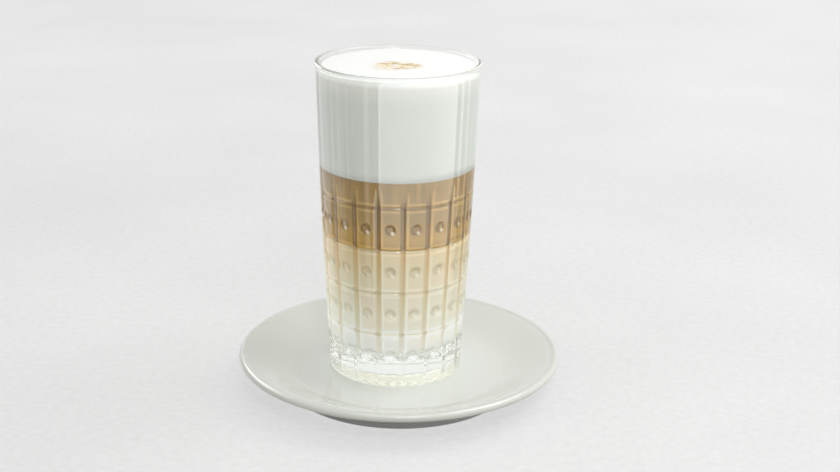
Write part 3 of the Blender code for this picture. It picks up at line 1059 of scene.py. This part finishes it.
class LATTE_OT_saucer(bpy.types.Operator):
    """Build the glazed saucer"""

    bl_idname = "latte.saucer"
    bl_label = "Build Saucer"

    def execute(self, context):
        saucer = context.scene.latte_saucer
        bead_x = SAUCER_RADIUS - saucer.rim_bead
        rim_height = SAUCER_HIGH.z - saucer.rim_bead
        inner_edge = bead_x - saucer.rim_bead
        rim_top = rim_height + saucer.rim_bead * 0.7
        rings = [saucer.well_top, (saucer.well_radius * 0.5, saucer.well_top)]
        for index in range(SAUCER_SLOPE_RINGS):
            share = index / SAUCER_SLOPE_RINGS
            lift = 0.55 * share + 0.45 * smooth_step(share)
            radius = saucer.well_radius + (inner_edge - saucer.well_radius) * share
            rings.append((radius, saucer.well_top + (rim_top - saucer.well_top) * lift))
        rings.extend(arc(bead_x, rim_height, saucer.rim_bead, 135.0, -75.0, 24))
        rim_bottom = rim_height - saucer.rim_bead
        for index in range(1, SAUCER_SLOPE_RINGS + 1):
            share = index / SAUCER_SLOPE_RINGS
            belly = math.sqrt(1.0 - (1.0 - share) ** 2)
            drop = 0.9 * share + 0.1 * belly
            radius = bead_x + (saucer.foot_outer - bead_x) * share
            rings.append((radius, rim_bottom + (saucer.foot_top - rim_bottom) * drop))
        fillet = SAUCER_FOOT_FILLET
        rings.extend(arc(saucer.foot_outer - fillet, fillet, fillet, 0.0, -90.0, 5))
        rings.extend(arc(saucer.foot_inner + fillet, fillet, fillet, -90.0, -180.0, 5))
        rings.append((saucer.foot_inner, saucer.underside))
        rings.append((saucer.foot_inner * 0.5, saucer.underside))
        rings.append(saucer.underside)
        mesh = ring_mesh("glazed_saucer", rings, even_angles(SAUCER_SIDES))
        material = build_porcelain_material(saucer)
        new_piece("glazed_saucer", mesh, material, (0.0, 0.0, 0.0), "porcelain", "saucer")
        return {"FINISHED"}


FLOOR_SIZE = 16.0
CARD_STEPS = 96
SKY_COLOR = (0.99, 1.0, 0.965, 1.0)


class LATTE_OT_stage(bpy.types.Operator):
    """Set the floor, the lights and the camera"""

    bl_idname = "latte.stage"
    bl_label = "Set Stage"

    def execute(self, context):
        studio = context.scene.latte_studio
        self.build_floor(studio)
        self.build_sky(studio)
        self.build_card("low_card", 0.095, (0.001, 0.135), LOW_CARD_STRIPS, studio.card_glow)
        self.build_card("high_card", 0.450, (0.360, 0.520), HIGH_CARD_STRIPS, studio.card_glow)
        self.build_card(
            "side_card", 0.300, (0.130, 0.290), SIDE_CARD_STRIPS, studio.card_glow, 8.0, (0.13, 0.17))
        self.add_area_light(
            "top_light", (0.46, 0.05, 0.66), (0.0, 0.0, 0.05), (0.45, 0.45), studio.top_power)
        self.add_area_light(
            "front_light", (0.10, -0.76, 0.72), (0.0, 0.0, 0.09), (0.24, 0.16), studio.front_power)
        left_fill = self.add_area_light(
            "left_fill", (-0.16, 0.048, 0.055), (0.0, 0.0, 0.045), (0.05, 0.05), studio.left_power,
            55.0)
        left_fill.visible_glossy = False
        self.place_camera(context, studio)
        self.set_render_limits(context.scene)
        return {"FINISHED"}

    def build_floor(self, studio):
        bpy.ops.mesh.primitive_plane_add(size=FLOOR_SIZE, location=(0.0, 0.0, CAD_LOW.z))
        floor = bpy.context.object
        floor.name = "pale_floor"
        floor.data.materials.append(build_floor_material(studio))

    def build_card(self, name, radius, heights, strips, glow, edge=0.7, fade=(0.0, 0.045)):
        """A bent screen round the glass that only reflections see."""
        vertices = []
        faces = []
        for index in range(CARD_STEPS + 1):
            angle = math.tau * index / CARD_STEPS
            for height in heights:
                vertices.append((radius * math.sin(angle), -radius * math.cos(angle), height))
        for index in range(CARD_STEPS):
            start = index * 2
            faces.append((start, start + 2, start + 3, start + 1))
        mesh = bpy.data.meshes.new(name)
        mesh.from_pydata(vertices, [], faces)
        card = bpy.data.objects.new(name, mesh)
        bpy.context.scene.collection.objects.link(card)
        card.location = (GLASS_AXIS.x, GLASS_AXIS.y, 0.0)
        mesh.materials.append(build_card_material(name, strips, glow, edge, fade))
        card.visible_camera = False
        card.visible_diffuse = False
        card.visible_transmission = False
        card.visible_shadow = False

    def build_sky(self, studio):
        world = bpy.data.worlds.new("soft_sky")
        bpy.context.scene.world = world
        world.use_nodes = True
        graph = ShaderGraph(world.node_tree)
        background = world.node_tree.nodes["Background"]
        background.inputs["Color"].default_value = SKY_COLOR
        direction = graph.add("ShaderNodeTexCoord").outputs["Generated"]
        sideways = graph.axes(direction)[0]
        strength = graph.map_range(sideways, -1.0, 1.0, studio.sky_left, studio.sky_right)
        path = graph.add("ShaderNodeLightPath")
        through_glass = graph.add("ShaderNodeMix", data_type="FLOAT")
        by_way_of_glass = graph.math(
            "MAXIMUM", path.outputs["Is Transmission Ray"], path.outputs["Is Glossy Ray"])
        graph.link(by_way_of_glass, through_glass.inputs[0])
        graph.link(strength, through_glass.inputs[2])
        through_glass.inputs[3].default_value = studio.sky_in_glass
        graph.link(through_glass.outputs[0], background.inputs["Strength"])

    def add_area_light(self, name, place, target, size, power, spread=180.0):
        light = bpy.data.lights.new(name, "AREA")
        light.shape = "RECTANGLE"
        light.size, light.size_y = size
        light.energy = power
        light.spread = math.radians(spread)
        lamp = bpy.data.objects.new(name, light)
        bpy.context.scene.collection.objects.link(lamp)
        lamp.location = place
        lamp.visible_camera = False
        lamp.rotation_euler = (Vector(target) - Vector(place)).to_track_quat("-Z", "Y").to_euler()
        return lamp

    def place_camera(self, context, studio):
        camera = bpy.data.cameras.new("photo_camera")
        camera.sensor_width = 36.0
        camera.lens = studio.lens
        camera_object = bpy.data.objects.new("photo_camera", camera)
        context.scene.collection.objects.link(camera_object)
        place = GLASS_AXIS + Vector((0.0, -studio.camera_distance, studio.camera_height))
        camera_object.matrix_world = (
            Matrix.Translation(place)
            @ Matrix.Rotation(-studio.camera_pan, 4, "Z")
            @ Matrix.Rotation(math.pi * 0.5 - studio.camera_tilt, 4, "X")
            @ Matrix.Rotation(studio.camera_roll, 4, "Z"))
        context.scene.camera = camera_object

    def set_render_limits(self, scene):
        scene.view_settings.view_transform = "Standard"
        scene.cycles.use_denoising = True
        scene.cycles.max_bounces = 16
        scene.cycles.transmission_bounces = 14
        scene.cycles.transparent_max_bounces = 16
        scene.cycles.caustics_reflective = False
        scene.cycles.caustics_refractive = False


class LATTE_PT_panel(bpy.types.Panel):
    """The latte's settings and steps"""

    bl_idname = "LATTE_PT_panel"
    bl_label = "Latte"
    bl_space_type = "VIEW_3D"
    bl_region_type = "UI"
    bl_category = "Latte"

    def draw(self, context):
        layout = self.layout
        for operator in OPERATORS:
            layout.operator(operator.bl_idname)
        for settings in (context.scene.latte_glass, context.scene.latte_drink,
                         context.scene.latte_saucer, context.scene.latte_studio):
            box = layout.box()
            for name in settings.__annotations__:
                box.prop(settings, name)


OPERATORS = (LATTE_OT_glass, LATTE_OT_drink, LATTE_OT_saucer, LATTE_OT_stage)
SETTINGS = {
    "latte_glass": GlassSettings,
    "latte_drink": DrinkSettings,
    "latte_saucer": SaucerSettings,
    "latte_studio": StudioSettings,
}


def register():
    for settings in SETTINGS.values():
        bpy.utils.register_class(settings)
    for operator in OPERATORS:
        bpy.utils.register_class(operator)
    bpy.utils.register_class(LATTE_PT_panel)
    for name, settings in SETTINGS.items():
        setattr(bpy.types.Scene, name, PointerProperty(type=settings))


def unregister():
    for name in SETTINGS:
        delattr(bpy.types.Scene, name)
    bpy.utils.unregister_class(LATTE_PT_panel)
    for operator in reversed(OPERATORS):
        bpy.utils.unregister_class(operator)
    for settings in reversed(SETTINGS.values()):
        bpy.utils.unregister_class(settings)


def main():
    register()
    bpy.ops.latte.glass()
    bpy.ops.latte.drink()
    bpy.ops.latte.saucer()
    bpy.ops.latte.stage()


if __name__ == "__main__":
    main()
